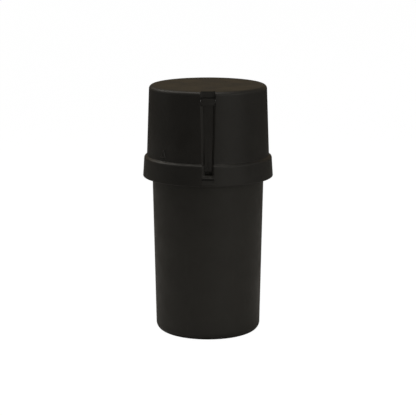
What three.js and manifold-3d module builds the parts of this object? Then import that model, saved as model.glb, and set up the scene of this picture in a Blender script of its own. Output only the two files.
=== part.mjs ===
// Hand-held pill crusher on a storage vial.
//
// A tapered vial holds the tablets. A threaded inner closure screws onto its neck and carries the
// crushing cup. Over that sits a push-and-turn outer cap with a toothed plunger. Turning the cap crushes.
// Pressing it down lowers its ribs between the clutch lugs, so that turning it then unscrews the closure.
// A lever hinged at the cap's top edge opens a pour window.
//
// Millimetres, +Z up. The origin is the centre of the vial's resting face. The lever is on the -Y side.
import * as THREE from "three";
import { mergeVertices } from "three/addons/utils/BufferGeometryUtils.js";
import Module from "manifold-3d";

const wasm = await Module();
wasm.setup();

// ---------------------------------------------------------------- driving dimensions
const HEIGHT = 97.5; // over the closed cap
const SHOULDER_Z = 62.1; // top of the vial's body, where its neck begins
const GAP = 0.3; // between moulded faces that move or meet
const BURIED = 0.3; // how far joined pieces run into each other
const RESTING = 0.1; // between a piece and the face it rests on

const VIAL = { bottomR: 20.5, topR: 21.72, cornerR: 3.05, wall: 1.55, floorZ: 2.7 };
const FOOT = { recessR: 14.2, recessZ: 1.0 };
const NECK = { r: 19.0, bore: 17.5, rimZ: SHOULDER_Z + 7.5 };
const THREAD = { pitch: 4.0, height: 0.95, rootHalf: 0.9, crestHalf: 0.6, startZ: SHOULDER_Z + 2.2 };

const SKIRT_BORE = NECK.r + THREAD.height + GAP;
const SKIRT = { bottomZ: SHOULDER_Z + 0.5, bore: SKIRT_BORE, r: SKIRT_BORE + 1.25 };
const CAP = { bottomR: 23.85, topR: 22.87, edgeR: 1.5, wall: 1.6, top: 1.8 };
const CEILING_Z = HEIGHT - CAP.top;
const COLLAR_LIP_Z = SHOULDER_Z - GAP;
const COLLAR = { bottomZ: COLLAR_LIP_Z, ledgeZ: COLLAR_LIP_Z + 8.2, bottomR: 25.4, topR: 24.95 };

const CUP = { r: 18.8, bore: 17.4, rimZ: CEILING_Z - 3.7 };
const DECK_UNDER_Z = NECK.rimZ + 1.2;
const DECK = { underZ: DECK_UNDER_Z, topZ: DECK_UNDER_Z + 1.6, edgeR: CUP.r + 1.4 };
const PLATE = { r: CUP.bore - 0.25, underZ: DECK.topZ + RESTING, topZ: DECK.topZ + 1.6 };
const CRUSHING_SPACE = 8.6; // between the lower plate and the plunger's face
const TOOTH_GAP = 2.0; // between a tooth's tip and the face it points at
const PLUNGER_FACE_Z = PLATE.topZ + CRUSHING_SPACE;
const PLUNGER = {
  r: CUP.bore - 0.4,
  bore: CUP.bore - 1.8,
  faceZ: PLUNGER_FACE_Z,
  floorZ: PLUNGER_FACE_Z + 3.0,
};

const CLUTCH_TOP_Z = DECK.topZ + 1.0;
const CLUTCH = { count: 12, lugTopZ: CLUTCH_TOP_Z, ribBottomZ: CLUTCH_TOP_Z + 0.6, ribFaceR: CUP.r + GAP };

const SLOT = {
  topHalf: 3.0,
  bottomHalf: 2.15,
  easeShare: 0.4, // of its half-width, taken by the chamfer on each edge
  easeDepth: 0.7,
  bottomZ: COLLAR.bottomZ + 3.3,
  headZ: HEIGHT - 5.2, // it widens above this to take the hinge
};
const PIN = { r: 0.7, y: -21.6, z: HEIGHT - 3.6, half: SLOT.topHalf + 0.7 };
const WINDOW = { half: 1.0, lowZ: PLATE.topZ + 1.8, highZ: PLUNGER.faceZ - 0.2 };

const FINE = 48; // facets round the outer pieces
const INNER = 36; // facets round the hidden pieces

// ---------------------------------------------------------------- materials
const plastic = (color, roughness) => new THREE.MeshStandardMaterial({ color, roughness, metalness: 0 });
const BLACK_PLASTIC = plastic(0x22201e, 0.42);
const TOOTH_PLASTIC = plastic(0x2b2a28, 0.5);
const SEAL_RUBBER = plastic(0x3a3836, 0.85);
const WHITE_ACETAL = plastic(0xe6e3da, 0.45);
const STEEL = new THREE.MeshStandardMaterial({ color: 0xb9bcc0, roughness: 0.28, metalness: 1 });

// ---------------------------------------------------------------- shape helpers
const TURN = Math.PI * 2;
const rad = THREE.MathUtils.degToRad;
const mix = THREE.MathUtils.mapLinear;

// A closed three.js geometry as a solid with outward faces.
function solid(geometry) {
  const WELD = 1e-4;
  const soup = new THREE.BufferGeometry();
  const source = geometry.index ? geometry.toNonIndexed() : geometry;
  soup.setAttribute("position", source.getAttribute("position"));
  const merged = mergeVertices(soup, WELD);
  const position = merged.attributes.position.array;
  const index = merged.index.array;
  const corner = (i) => new THREE.Vector3().fromArray(position, 3 * i);
  const triangles = [];
  let volume = 0;
  for (let i = 0; i < index.length; i += 3) {
    const [a, b, c] = [index[i], index[i + 1], index[i + 2]];
    if (a === b || b === c || c === a) continue;
    triangles.push([a, b, c]);
    volume += corner(a).dot(corner(b).cross(corner(c)));
  }
  const facing = triangles.flatMap(([a, b, c]) => (volume < 0 ? [a, c, b] : [a, b, c]));
  const triVerts = new Uint32Array(facing);
  return new wasm.Manifold(new wasm.Mesh({ numProp: 3, vertProperties: position, triVerts }));
}

const join = (first, ...others) => others.reduce((whole, piece) => whole.add(piece), first);
const cut = (first, ...others) => others.reduce((whole, piece) => whole.subtract(piece), first);

function node(name, material, shape) {
  const { vertProperties, triVerts } = shape.getMesh();
  const geometry = new THREE.BufferGeometry();
  geometry.setAttribute("position", new THREE.BufferAttribute(vertProperties, 3));
  geometry.setIndex(new THREE.BufferAttribute(triVerts, 1));
  geometry.computeVertexNormals();
  const mesh = new THREE.Mesh(geometry, material);
  mesh.name = name;
  return mesh;
}

// A solid of revolution about Z from [radius, z] points.
function turned(points, facets) {
  const profile = points.map(([r, z]) => new THREE.Vector2(r, z));
  return solid(new THREE.LatheGeometry(profile, facets).rotateX(Math.PI / 2));
}

// A ring of rectangular section.
const ring = (innerR, outerR, lowZ, highZ, facets) =>
  turned([[innerR, lowZ], [outerR, lowZ], [outerR, highZ], [innerR, highZ], [innerR, lowZ]], facets);

// Points on an arc in the profile plane, angles in degrees.
function arc(centreR, centreZ, radius, from, to, steps) {
  return Array.from({ length: steps + 1 }, (_, i) => {
    const a = rad(from + ((to - from) * i) / steps);
    return [centreR + radius * Math.cos(a), centreZ + radius * Math.sin(a)];
  });
}

// Two triangles for each side of the strip between two rings of points.
function band(here, there) {
  return here.flatMap((point, k) => {
    const next = (k + 1) % here.length;
    return [...point, ...here[next], ...there[next], ...point, ...there[next], ...there[k]];
  });
}

function surface(corners) {
  const position = new THREE.Float32BufferAttribute(corners, 3);
  return solid(new THREE.BufferGeometry().setAttribute("position", position));
}

// A closed skin through rings of 3-D points, one ring after another, with flat ends.
function skin(rings) {
  const [first, last] = [rings[0], rings.at(-1)];
  const corners = rings.slice(1).flatMap((there, i) => band(rings[i], there));
  for (let k = 1; k < first.length - 1; k++) {
    corners.push(...first[0], ...first[k + 1], ...first[k]);
    corners.push(...last[0], ...last[k], ...last[k + 1]);
  }
  return surface(corners);
}

// An upright body through levels of [z, frontHalf, frontY, backHalf, backY].
const upright = (levels) => skin(levels.map(([z, frontHalf, frontY, backHalf, backY]) =>
  [[-frontHalf, frontY, z], [frontHalf, frontY, z], [backHalf, backY, z], [-backHalf, backY, z]]));

const box = (x0, x1, y0, y1, z0, z1) =>
  solid(new THREE.BoxGeometry(x1 - x0, y1 - y0, z1 - z0)
    .translate((x0 + x1) / 2, (y0 + y1) / 2, (z0 + z1) / 2));

// A block centred on the -Y half-plane, between two radii.
const block = (half, outerR, innerR, lowZ, highZ) => box(-half, half, -outerR, -innerR, lowZ, highZ);

// A rod along X through (y, z).
function rodAlongX(radius, half, y, z, facets) {
  const rod = new THREE.CylinderGeometry(radius, radius, 2 * half, facets);
  return solid(rod.rotateZ(Math.PI / 2).translate(0, y, z));
}

// Copies of a solid round the Z axis.
const around = (piece, count, startDeg) =>
  Array.from({ length: count }, (_, i) => piece.rotate([0, 0, startDeg + (360 * i) / count]));

// A right-handed thread ridge from startTurn to endTurn. It stands on the wall at rootR and runs out
// to it at both ends.
function threadRidge(rootR, crestR, startTurn, endTurn, zAtZero, facets) {
  const RUN_OUT = 0.06; // turns
  const END_HEIGHT = 0.35; // share of the full height, enough to come up to the wall's surface
  const steps = Math.round((endTurn - startTurn) * facets);
  return skin(Array.from({ length: steps + 1 }, (_, i) => {
    const turn = startTurn + ((endTurn - startTurn) * i) / steps;
    const height = Math.min(1, END_HEIGHT + Math.min(turn - startTurn, endTurn - turn) / RUN_OUT);
    const crest = rootR + (crestR - rootR) * height;
    const z = zAtZero + THREAD.pitch * turn;
    const at = (r, dz) => [r * Math.cos(turn * TURN), r * Math.sin(turn * TURN), z + dz];
    return [
      at(rootR, -THREAD.rootHalf), at(crest, -THREAD.crestHalf),
      at(crest, THREAD.crestHalf), at(rootR, THREAD.rootHalf),
    ];
  }));
}

// ---------------------------------------------------------------- storage vial
function storageVial() {
  const FOOT_CHAMFER = 1.0;
  const SHOULDER_R = 0.5; // rounding of the outer shoulder
  const INNER_CORNER_R = 1.9;
  const RIM_CHAMFER = 0.4;
  const innerBottomR = VIAL.bottomR - VIAL.wall;
  const innerTopR = VIAL.topR - VIAL.wall;
  const outer = [
    [0, FOOT.recessZ], [FOOT.recessR, FOOT.recessZ], [FOOT.recessR + FOOT_CHAMFER, 0],
    ...arc(VIAL.bottomR - VIAL.cornerR, VIAL.cornerR, VIAL.cornerR, -90, 0, 5),
    ...arc(VIAL.topR - SHOULDER_R, SHOULDER_Z - SHOULDER_R, SHOULDER_R, 0, 90, 2),
    [NECK.r, SHOULDER_Z], [NECK.r, NECK.rimZ - RIM_CHAMFER], [NECK.r - RIM_CHAMFER, NECK.rimZ],
  ];
  const wallTurnsInZ = SHOULDER_Z - VIAL.wall;
  const inner = [
    [NECK.bore + RIM_CHAMFER, NECK.rimZ], [NECK.bore, NECK.rimZ - RIM_CHAMFER],
    [NECK.bore, wallTurnsInZ], [innerTopR, wallTurnsInZ - (innerTopR - NECK.bore)],
    ...arc(innerBottomR - INNER_CORNER_R, VIAL.floorZ + INNER_CORNER_R, INNER_CORNER_R, 0, -90, 3),
    [0, VIAL.floorZ],
  ];
  const thread = threadRidge(NECK.r - BURIED, NECK.r + THREAD.height, 0, 1, THREAD.startZ, FINE);
  return join(turned([...outer, ...inner], FINE), thread);
}

// ---------------------------------------------------------------- inner closure with the crushing cup
const KEY = { count: 4, half: 0.7, depth: 0.7, height: 1.2 }; // in the cup, to hold the lower tooth plate
const FIRST_KEY = 45; // degrees from the lever

function crusherBase() {
  // The plug is the spigot that enters the vial's neck.
  const PLUG = { innerR: 15.9, outerR: 17.1, bottomZ: NECK.rimZ - 1.4, chamfer: 0.5 };
  const EDGE = 0.4;
  const LUG_HALF = 2.4;
  const FEMALE_TURNS = [0.42, 1.35];
  const deckEdgeZ = DECK.topZ - 0.2;
  const body = turned([
    [0, DECK.underZ], [PLUG.innerR, DECK.underZ], [PLUG.innerR, PLUG.bottomZ],
    [PLUG.outerR - PLUG.chamfer, PLUG.bottomZ], [PLUG.outerR, PLUG.bottomZ + PLUG.chamfer],
    [PLUG.outerR, DECK.underZ], [SKIRT.bore, DECK.underZ], [SKIRT.bore, SKIRT.bottomZ + EDGE],
    [SKIRT.bore + EDGE, SKIRT.bottomZ], [SKIRT.r, SKIRT.bottomZ], [SKIRT.r, DECK.underZ],
    [DECK.edgeR, deckEdgeZ], [CUP.r, deckEdgeZ], [CUP.r, CUP.rimZ],
    [CUP.bore + EDGE, CUP.rimZ], [CUP.bore, CUP.rimZ - EDGE], [CUP.bore, DECK.topZ], [0, DECK.topZ],
  ], INNER);
  const crestR = SKIRT.bore - THREAD.height;
  const halfPitchLower = THREAD.startZ - THREAD.pitch / 2;
  const thread = threadRidge(SKIRT.bore + BURIED, crestR, ...FEMALE_TURNS, halfPitchLower, INNER);
  const lug = block(LUG_HALF, DECK.edgeR, CUP.r - BURIED, deckEdgeZ - BURIED, CLUTCH.lugTopZ);
  const keyTopZ = DECK.topZ + KEY.height;
  const key = block(KEY.half, CUP.bore + BURIED, CUP.bore - KEY.depth, DECK.topZ - BURIED, keyTopZ);
  const window = block(WINDOW.half + GAP, CUP.r + 1, CUP.bore - 1, WINDOW.lowZ - GAP, WINDOW.highZ + GAP);
  const lugs = around(lug, CLUTCH.count, 0);
  const keys = around(key, KEY.count, FIRST_KEY);
  return cut(join(body, thread, ...lugs, ...keys), window);
}

// ---------------------------------------------------------------- crushing teeth
// The plunger's rings pass between the lower plate's, so their radii alternate.
const LOWER_RINGS = [{ r: 7.6, count: 6, startDeg: 0 }, { r: 14.6, count: 10, startDeg: 18 }];
const UPPER_RINGS = [{ r: 4.0, count: 4, startDeg: 0 }, { r: 11.1, count: 8, startDeg: 22.5 }];

// One four-sided tooth standing on the -Y side at the given radius, from rootZ to tipZ.
function tooth(radius, rootZ, tipZ) {
  const ROOT = { radial: 1.4, across: 1.9 };
  const TIP = { radial: 0.7, across: 0.6 };
  const buriedZ = rootZ + Math.sign(rootZ - tipZ) * BURIED;
  const section = (z, { radial, across }) =>
    [[-across, -radius, z], [0, -radius - radial, z], [across, -radius, z], [0, -radius + radial, z]];
  return skin([section(buriedZ, ROOT), section(tipZ, TIP)]);
}

const toothRings = (rings, rootZ, tipZ) =>
  rings.flatMap(({ r, count, startDeg }) => around(tooth(r, rootZ, tipZ), count, startDeg));

function lowerToothPlate() {
  const SPIKE = { r: 1.8, height: 5.6, facets: 8 };
  const { r, underZ, topZ } = PLATE;
  const disc = turned([[0, underZ], [r, underZ], [r, topZ], [0, topZ]], INNER);
  const spikeOutline = [[0, topZ - BURIED], [SPIKE.r, topZ - BURIED], [0, topZ + SPIKE.height]];
  const centreSpike = turned(spikeOutline, SPIKE.facets);
  const teeth = toothRings(LOWER_RINGS, topZ, PLUNGER.faceZ - TOOTH_GAP);
  const notch = block(KEY.half + GAP, CUP.bore + 1, CUP.bore - KEY.depth - GAP, DECK.topZ - 1, topZ + 1);
  return cut(join(disc, centreSpike, ...teeth), ...around(notch, KEY.count, FIRST_KEY));
}

const SPLINE = { count: 4, half: 0.6, lowZ: CEILING_Z - 3.4 }; // keys the plunger to the cap
const GROOVE = { r: PLUNGER.r - 1.3, lowZ: PLUNGER.faceZ + 0.7, highZ: PLUNGER.faceZ + 2.35 };

function toothPlunger() {
  const EDGE = 0.4;
  const topZ = CEILING_Z - GAP;
  const body = turned([
    [0, PLUNGER.faceZ], [PLUNGER.r - EDGE, PLUNGER.faceZ], [PLUNGER.r, PLUNGER.faceZ + EDGE],
    [PLUNGER.r, GROOVE.lowZ], [GROOVE.r, GROOVE.lowZ], [GROOVE.r, GROOVE.highZ], [PLUNGER.r, GROOVE.highZ],
    [PLUNGER.r, topZ], [PLUNGER.bore, topZ], [PLUNGER.bore, PLUNGER.floorZ], [0, PLUNGER.floorZ],
  ], INNER);
  const teeth = toothRings(UPPER_RINGS, PLUNGER.faceZ, PLATE.topZ + TOOTH_GAP);
  const notch = block(SPLINE.half + GAP, PLUNGER.r + 1, PLUNGER.bore - 1, SPLINE.lowZ - GAP, topZ + 1);
  return cut(join(body, ...teeth), ...around(notch, SPLINE.count, FIRST_KEY));
}

// ---------------------------------------------------------------- outer cap
const capRadius = (z) => mix(z, COLLAR.ledgeZ, HEIGHT, CAP.bottomR, CAP.topR);
const slotHalf = (z) => mix(z, SLOT.bottomZ, HEIGHT, SLOT.bottomHalf, SLOT.topHalf);
const easeWidth = (z) => slotHalf(z) * SLOT.easeShare;
const channelHalf = (z) => slotHalf(z) - easeWidth(z);

// The channel behind the lever is deep in the cap and shallow in the collar, where the closure's skirt is.
const CHANNEL = {
  collarFloorY: -SKIRT.r - 1.0,
  capFloorY: [-21.6, -20.95],
  headFloorY: -20.1,
  headHalf: SLOT.topHalf - 0.1,
  stepZ: [COLLAR.ledgeZ + 3.4, COLLAR.ledgeZ + 5.0],
};
const CHANNEL_FLOOR = [
  [SLOT.bottomZ, -COLLAR.bottomR], [SLOT.bottomZ + 0.9, CHANNEL.collarFloorY],
  [CHANNEL.stepZ[0], CHANNEL.collarFloorY], [CHANNEL.stepZ[1], CHANNEL.capFloorY[0]],
  [SLOT.headZ, CHANNEL.capFloorY[1]],
];

// The wall behind the channel. It stands inside the cap, with its outer side buried in the outer wall.
function channelWall() {
  const SIDE = 1.3; // beyond the channel's edge at the surface
  const BEHIND_COLLAR_Y = CHANNEL.collarFloorY + 0.8;
  const BEHIND_CAP_Y = CHANNEL.capFloorY.map((y) => y + 1.2);
  const BEHIND_HEAD_Y = CHANNEL.headFloorY + 1.15;
  const IN_COLLAR_Y = 0.75 - COLLAR.topR;
  const IN_CAP_FOOT_Y = 0.85 - CAP.bottomR;
  const IN_CAP_TOP_Y = 0.67 - CAP.topR;
  // [z, frontY, backY]
  const spine = [
    [SLOT.bottomZ - 1.2, IN_COLLAR_Y, BEHIND_COLLAR_Y],
    [CHANNEL.stepZ[0] - 0.8, IN_CAP_FOOT_Y, BEHIND_COLLAR_Y],
    [CHANNEL.stepZ[1] - 0.6, IN_CAP_TOP_Y, BEHIND_CAP_Y[0]],
    [SLOT.headZ - 2.0, IN_CAP_TOP_Y, BEHIND_CAP_Y[1]],
    [SLOT.headZ - 0.8, IN_CAP_TOP_Y, BEHIND_HEAD_Y],
    [CEILING_Z + BURIED, IN_CAP_TOP_Y, BEHIND_HEAD_Y],
  ];
  return upright(spine.map(([z, frontY, backY]) =>
    [z, slotHalf(z) + SIDE, frontY, slotHalf(z) + SIDE, backY]));
}

// The lever's channel, with eased edges. It widens at the top to take the hinge.
function leverChannel() {
  const CLEAR = 2; // beyond the cap's surface
  const OUTSIDE_Y = -COLLAR.bottomR - CLEAR;
  const { headHalf, headFloorY } = CHANNEL;
  const core = upright(CHANNEL_FLOOR.map(([z, floorY]) =>
    [z, channelHalf(z), OUTSIDE_Y, channelHalf(z), floorY]));
  const head = upright([SLOT.headZ - 0.7, HEIGHT + 1].map((z) =>
    [z, headHalf, OUTSIDE_Y, headHalf, headFloorY]));
  const easeAt = (z, radius) => {
    const surfaceY = -Math.sqrt(radius ** 2 - slotHalf(z) ** 2);
    const frontY = surfaceY - (CLEAR * SLOT.easeDepth) / easeWidth(z);
    return [z, slotHalf(z) + CLEAR, frontY, channelHalf(z), surfaceY + SLOT.easeDepth];
  };
  const collarLevels = [SLOT.bottomZ + 0.8, COLLAR.ledgeZ + 0.05];
  const collarEase = upright(collarLevels.map((z) => easeAt(z, COLLAR.topR)));
  const capEase = upright([COLLAR.ledgeZ, SLOT.headZ].map((z) => easeAt(z, capRadius(z))));
  return join(core, head, collarEase, capEase);
}

// A shallow hollow in the collar, where a fingertip gets under the end of the lever.
function fingerScoop() {
  const SCOOP = { r: 3.0, depth: 0.35, belowSlot: 1.5 };
  const axisY = SCOOP.depth - SCOOP.r - COLLAR.bottomR;
  return rodAlongX(SCOOP.r, SLOT.bottomHalf, axisY, SLOT.bottomZ - SCOOP.belowSlot, FINE);
}

// A raised triangle above the collar, pointing up.
function alignmentMark() {
  const MARK = { angle: 45.6, height: 3.6, half: 1.1, proud: 0.4, buried: 0.8 };
  const lowZ = COLLAR.ledgeZ + 1.2;
  const highZ = lowZ + MARK.height;
  const corners = [[-MARK.half, lowZ], [MARK.half, lowZ], [0, highZ]];
  const outline = new THREE.Shape(corners.map(([x, z]) => new THREE.Vector2(x, z)));
  const depth = MARK.proud + MARK.buried;
  const prism = new THREE.ExtrudeGeometry(outline, { depth, bevelEnabled: false });
  prism.rotateX(Math.PI / 2).translate(0, MARK.buried - capRadius((lowZ + highZ) / 2), 0);
  return solid(prism).rotate([0, 0, -MARK.angle]);
}

function capMoulding(ledgeUnderZ) {
  const SHOULDER_R = COLLAR.topR - CAP.bottomR;
  const LIP_EDGE = 0.3;
  const INNER_EDGE = 0.5;
  const innerR = (z) => capRadius(z) - CAP.wall;
  const edgeCentreZ = HEIGHT - CAP.edgeR;
  return turned([
    [0, CEILING_Z], [innerR(CEILING_Z) - INNER_EDGE, CEILING_Z],
    [innerR(CEILING_Z), CEILING_Z - INNER_EDGE], [innerR(ledgeUnderZ), ledgeUnderZ],
    [COLLAR.topR - CAP.wall, ledgeUnderZ],
    [COLLAR.bottomR - CAP.top, COLLAR.bottomZ], [COLLAR.bottomR - LIP_EDGE, COLLAR.bottomZ],
    [COLLAR.bottomR, COLLAR.bottomZ + LIP_EDGE],
    ...arc(CAP.bottomR, COLLAR.ledgeZ - SHOULDER_R, SHOULDER_R, 0, 90, 4),
    ...arc(capRadius(edgeCentreZ) - CAP.edgeR, edgeCentreZ, CAP.edgeR, 0, 90, 5),
    [0, HEIGHT],
  ], FINE);
}

// The ribs inside the cap that engage the clutch lugs, and shorter ones round the closure's skirt.
function capRibs(ledgeUnderZ) {
  const HALF = 0.6;
  const SKIRT_HALF = 0.5;
  const FIRST_RIB = 15; // degrees from the lever, halfway between two lugs
  const { ribBottomZ, ribFaceR } = CLUTCH;
  const topRootR = capRadius(CEILING_Z) - CAP.wall + BURIED;
  const footRootR = capRadius(COLLAR.ledgeZ) - CAP.wall + BURIED;
  const skirtRootR = COLLAR.bottomR - CAP.wall + RESTING;
  const skirtFaceR = SKIRT.r + 0.45;
  const rib = block(HALF, topRootR, ribFaceR, ribBottomZ, CEILING_Z + BURIED);
  const foot = block(HALF, footRootR, ribFaceR + 1, ribBottomZ, ribBottomZ + 10);
  const skirt = block(SKIRT_HALF, skirtRootR, skirtFaceR, COLLAR.bottomZ + 1.8, ledgeUnderZ + BURIED);
  return [rib, foot, skirt].flatMap((piece) => around(piece, CLUTCH.count, FIRST_RIB));
}

// The ring that centres the plunger, with the splines that turn it.
function plungerSpigot() {
  const WALL = 1.2;
  const LENGTH = 6.7;
  const outerR = PLUNGER.bore - GAP;
  const innerR = outerR - WALL;
  const tube = ring(innerR, outerR, CEILING_Z - LENGTH, CEILING_Z + BURIED, INNER);
  const spline = block(SPLINE.half, PLUNGER.r - GAP, innerR + BURIED, SPLINE.lowZ, CEILING_Z + BURIED);
  return join(tube, ...around(spline, SPLINE.count, FIRST_KEY));
}

function capShell() {
  const LEDGE = 1.6; // thickness of the step between cap and collar
  const FRAME = 1.2; // width of the wall round the pour window
  const FRAME_FRONT_R = 20.7;
  const SOCKET_GAP = 0.08;
  const ledgeUnderZ = COLLAR.ledgeZ - LEDGE;
  const { ribFaceR } = CLUTCH;
  const frame = block(WINDOW.half + FRAME, FRAME_FRONT_R, ribFaceR, WINDOW.lowZ - 0.7, WINDOW.highZ + 0.9);
  const filled = join(capMoulding(ledgeUnderZ), channelWall(), frame, plungerSpigot(), alignmentMark(),
    ...capRibs(ledgeUnderZ));
  const window = block(WINDOW.half, FRAME_FRONT_R + 2.3, ribFaceR - 1.1, WINDOW.lowZ, WINDOW.highZ);
  const pinSockets = rodAlongX(PIN.r + SOCKET_GAP, PIN.half + 0.15, PIN.y, PIN.z, 16);
  return cut(filled, leverChannel(), fingerScoop(), window, pinSockets);
}

// ---------------------------------------------------------------- pour lever
const PAD_SEAT = { half: WINDOW.half, lowZ: WINDOW.lowZ - 0.1, highZ: WINDOW.highZ + 0.1, y: -22.3 };

function pourLever() {
  const RECESS = 0.4; // of the lever's face below the cap's surface
  const EDGE = 0.35; // chamfer on the face's edges
  const CLEAR = 0.25; // from the channel's sides and floor
  const KNUCKLE_R = 1.1;
  const TIP_Z = SLOT.bottomZ + 2.3;
  const SLIT = { half: 0.2, depth: 0.35, lowZ: TIP_Z + 1.1, highZ: TIP_Z + 3.2 };
  const collarBackY = CHANNEL.collarFloorY - CLEAR;
  const [capBackLowY, capBackHighY] = CHANNEL.capFloorY.map((y) => y - CLEAR);
  // [z, backY] from the finger tip up to the hinge
  const back = [
    [TIP_Z, collarBackY - CLEAR], [TIP_Z + 0.5, collarBackY], [CHANNEL.stepZ[0], collarBackY],
    [CHANNEL.stepZ[1] + 0.2, capBackLowY], [SLOT.headZ - 1, capBackHighY], [PIN.z, PIN.y + 0.5],
  ];
  const half = (z) => channelHalf(z) - CLEAR;
  const faceY = (z) => RECESS - capRadius(z);
  const blade = upright(back.map(([z, backY]) => [z, half(z), faceY(z) + EDGE, half(z), backY]));
  const face = upright(back.map(([z]) => [z, half(z) - EDGE, faceY(z), half(z), faceY(z) + EDGE]));
  const knuckle = rodAlongX(KNUCKLE_R, CHANNEL.headHalf - GAP, PIN.y, PIN.z, 20);
  const pinBore = rodAlongX(PIN.r + 0.1, PIN.half, PIN.y, PIN.z, 16);
  const inCap = -CUP.r - 1.2; // anywhere behind the blade
  const padSeat = box(-PAD_SEAT.half, PAD_SEAT.half, PAD_SEAT.y, inCap, PAD_SEAT.lowZ, PAD_SEAT.highZ);
  const slitBackY = faceY(TIP_Z) + SLIT.depth;
  const reliefSlit = box(-SLIT.half, SLIT.half, -COLLAR.bottomR, slitBackY, SLIT.lowZ, SLIT.highZ);
  return cut(join(blade, face, knuckle), pinBore, padSeat, reliefSlit);
}

function leverPad() {
  const SIDE_GAP = 0.25;
  const END_GAP = 0.4;
  const half = PAD_SEAT.half - SIDE_GAP;
  const frontY = PAD_SEAT.y + 0.05;
  const THICKNESS = 1.5;
  return box(-half, half, frontY, frontY + THICKNESS, PAD_SEAT.lowZ + END_GAP, PAD_SEAT.highZ - END_GAP);
}

const leverPin = () => rodAlongX(PIN.r, PIN.half, PIN.y, PIN.z, 16);

// ---------------------------------------------------------------- seals, washer and spring
const vialSealRing = () =>
  ring(NECK.bore + RESTING, SKIRT.bore - 0.4, NECK.rimZ + RESTING, DECK.underZ - RESTING, INNER);

function plungerORing() {
  const SECTION_R = 0.74;
  const torus = new THREE.TorusGeometry(GROOVE.r + SECTION_R + 0.04, SECTION_R, 8, INNER);
  return solid(torus.translate(0, 0, (GROOVE.lowZ + GROOVE.highZ) / 2));
}

const WASHER_TOP_Z = CUP.rimZ + 0.9;
const thrustWasher = () => ring(PLUNGER.r + GAP, CUP.r + 0.05, CUP.rimZ + RESTING, WASHER_TOP_Z, INNER);

// A wave spring: a flat strip bent into a ring with three crests.
function pushSpring() {
  const STRIP = { innerR: 17.45, outerR: 18.75, thickness: 0.4 };
  const WAVES = 3;
  const STEPS = 48;
  const lowZ = WASHER_TOP_Z + RESTING;
  const highZ = CEILING_Z - RESTING - STRIP.thickness;
  const strip = Array.from({ length: STEPS }, (_, i) => {
    const a = (i / STEPS) * TURN;
    const z = (lowZ + highZ) / 2 + ((highZ - lowZ) / 2) * Math.cos(WAVES * a);
    const at = (r, dz) => [r * Math.cos(a), r * Math.sin(a), z + dz];
    return [
      at(STRIP.innerR, 0), at(STRIP.outerR, 0),
      at(STRIP.outerR, STRIP.thickness), at(STRIP.innerR, STRIP.thickness),
    ];
  });
  return surface(strip.flatMap((here, i) => band(here, strip[(i + 1) % STEPS])));
}

// ---------------------------------------------------------------- assembly
const pillCrusher = new THREE.Group();
pillCrusher.add(
  node("storage_vial", BLACK_PLASTIC, storageVial()),
  node("vial_seal_ring", SEAL_RUBBER, vialSealRing()),
  node("crusher_base", TOOTH_PLASTIC, crusherBase()),
  node("lower_tooth_plate", TOOTH_PLASTIC, lowerToothPlate()),
  node("thrust_washer", WHITE_ACETAL, thrustWasher()),
  node("push_spring", STEEL, pushSpring()),
  node("plunger_o_ring", SEAL_RUBBER, plungerORing()),
  node("tooth_plunger", TOOTH_PLASTIC, toothPlunger()),
  node("cap_shell", BLACK_PLASTIC, capShell()),
  node("pour_lever", BLACK_PLASTIC, pourLever()),
  node("lever_pin", STEEL, leverPin()),
  node("lever_pad", SEAL_RUBBER, leverPad()),
);

export default pillCrusher;
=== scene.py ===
"""Looks for the hand-held pill crusher.

Fine meshes in plastic, rubber and steel stand in for the faceted CAD nodes. Shapes are worked out in
millimetres from the CAD nodes' boxes and scaled to metres when a piece is placed.
"""
import math

import bmesh
import bpy
from mathutils import Matrix, Vector


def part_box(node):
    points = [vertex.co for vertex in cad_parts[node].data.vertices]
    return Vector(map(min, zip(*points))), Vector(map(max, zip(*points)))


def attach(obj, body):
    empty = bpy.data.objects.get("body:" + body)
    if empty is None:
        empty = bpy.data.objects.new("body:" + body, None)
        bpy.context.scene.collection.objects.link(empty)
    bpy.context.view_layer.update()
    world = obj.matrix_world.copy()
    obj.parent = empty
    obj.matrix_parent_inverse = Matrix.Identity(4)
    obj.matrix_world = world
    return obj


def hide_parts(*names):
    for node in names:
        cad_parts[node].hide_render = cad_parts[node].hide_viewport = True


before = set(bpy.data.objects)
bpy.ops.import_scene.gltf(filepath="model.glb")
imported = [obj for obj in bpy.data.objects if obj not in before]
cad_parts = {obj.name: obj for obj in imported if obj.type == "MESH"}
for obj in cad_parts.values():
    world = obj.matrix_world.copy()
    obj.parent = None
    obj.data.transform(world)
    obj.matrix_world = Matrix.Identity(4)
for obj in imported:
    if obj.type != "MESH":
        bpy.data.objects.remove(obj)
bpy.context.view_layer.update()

# ---------------------------------------------------------------- dimensions, in millimetres
MM = 0.001


def box_mm(node):
    low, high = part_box(node)
    return low / MM, high / MM


VIAL_HIGH = box_mm("storage_vial")[1]
BASE_LOW, BASE_HIGH = box_mm("crusher_base")
PLATE_LOW, PLATE_HIGH = box_mm("lower_tooth_plate")
PLUNGER_LOW, PLUNGER_HIGH = box_mm("tooth_plunger")
SHELL_LOW, SHELL_HIGH = box_mm("cap_shell")
LEVER_LOW = box_mm("pour_lever")[0]
PIN_LOW, PIN_HIGH = box_mm("lever_pin")
PAD_LOW, PAD_HIGH = box_mm("lever_pad")
WASHER_LOW, WASHER_HIGH = box_mm("thrust_washer")
SPRING_LOW, SPRING_HIGH = box_mm("push_spring")
SEAL_LOW, SEAL_HIGH = box_mm("vial_seal_ring")
ORING_LOW, ORING_HIGH = box_mm("plunger_o_ring")

GAP = 0.3  # between moulded faces that move or meet
BURIED = 0.3  # how far joined shapes run into each other
SOFT = 0.15  # rounding of a moulded corner

RIM_Z = VIAL_HIGH.z
NECK_R = VIAL_HIGH.x - 2.72
SHOULDER_Z = RIM_Z - 7.5
THREAD_PITCH = 4.0
THREAD_HEIGHT = 0.95

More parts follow.
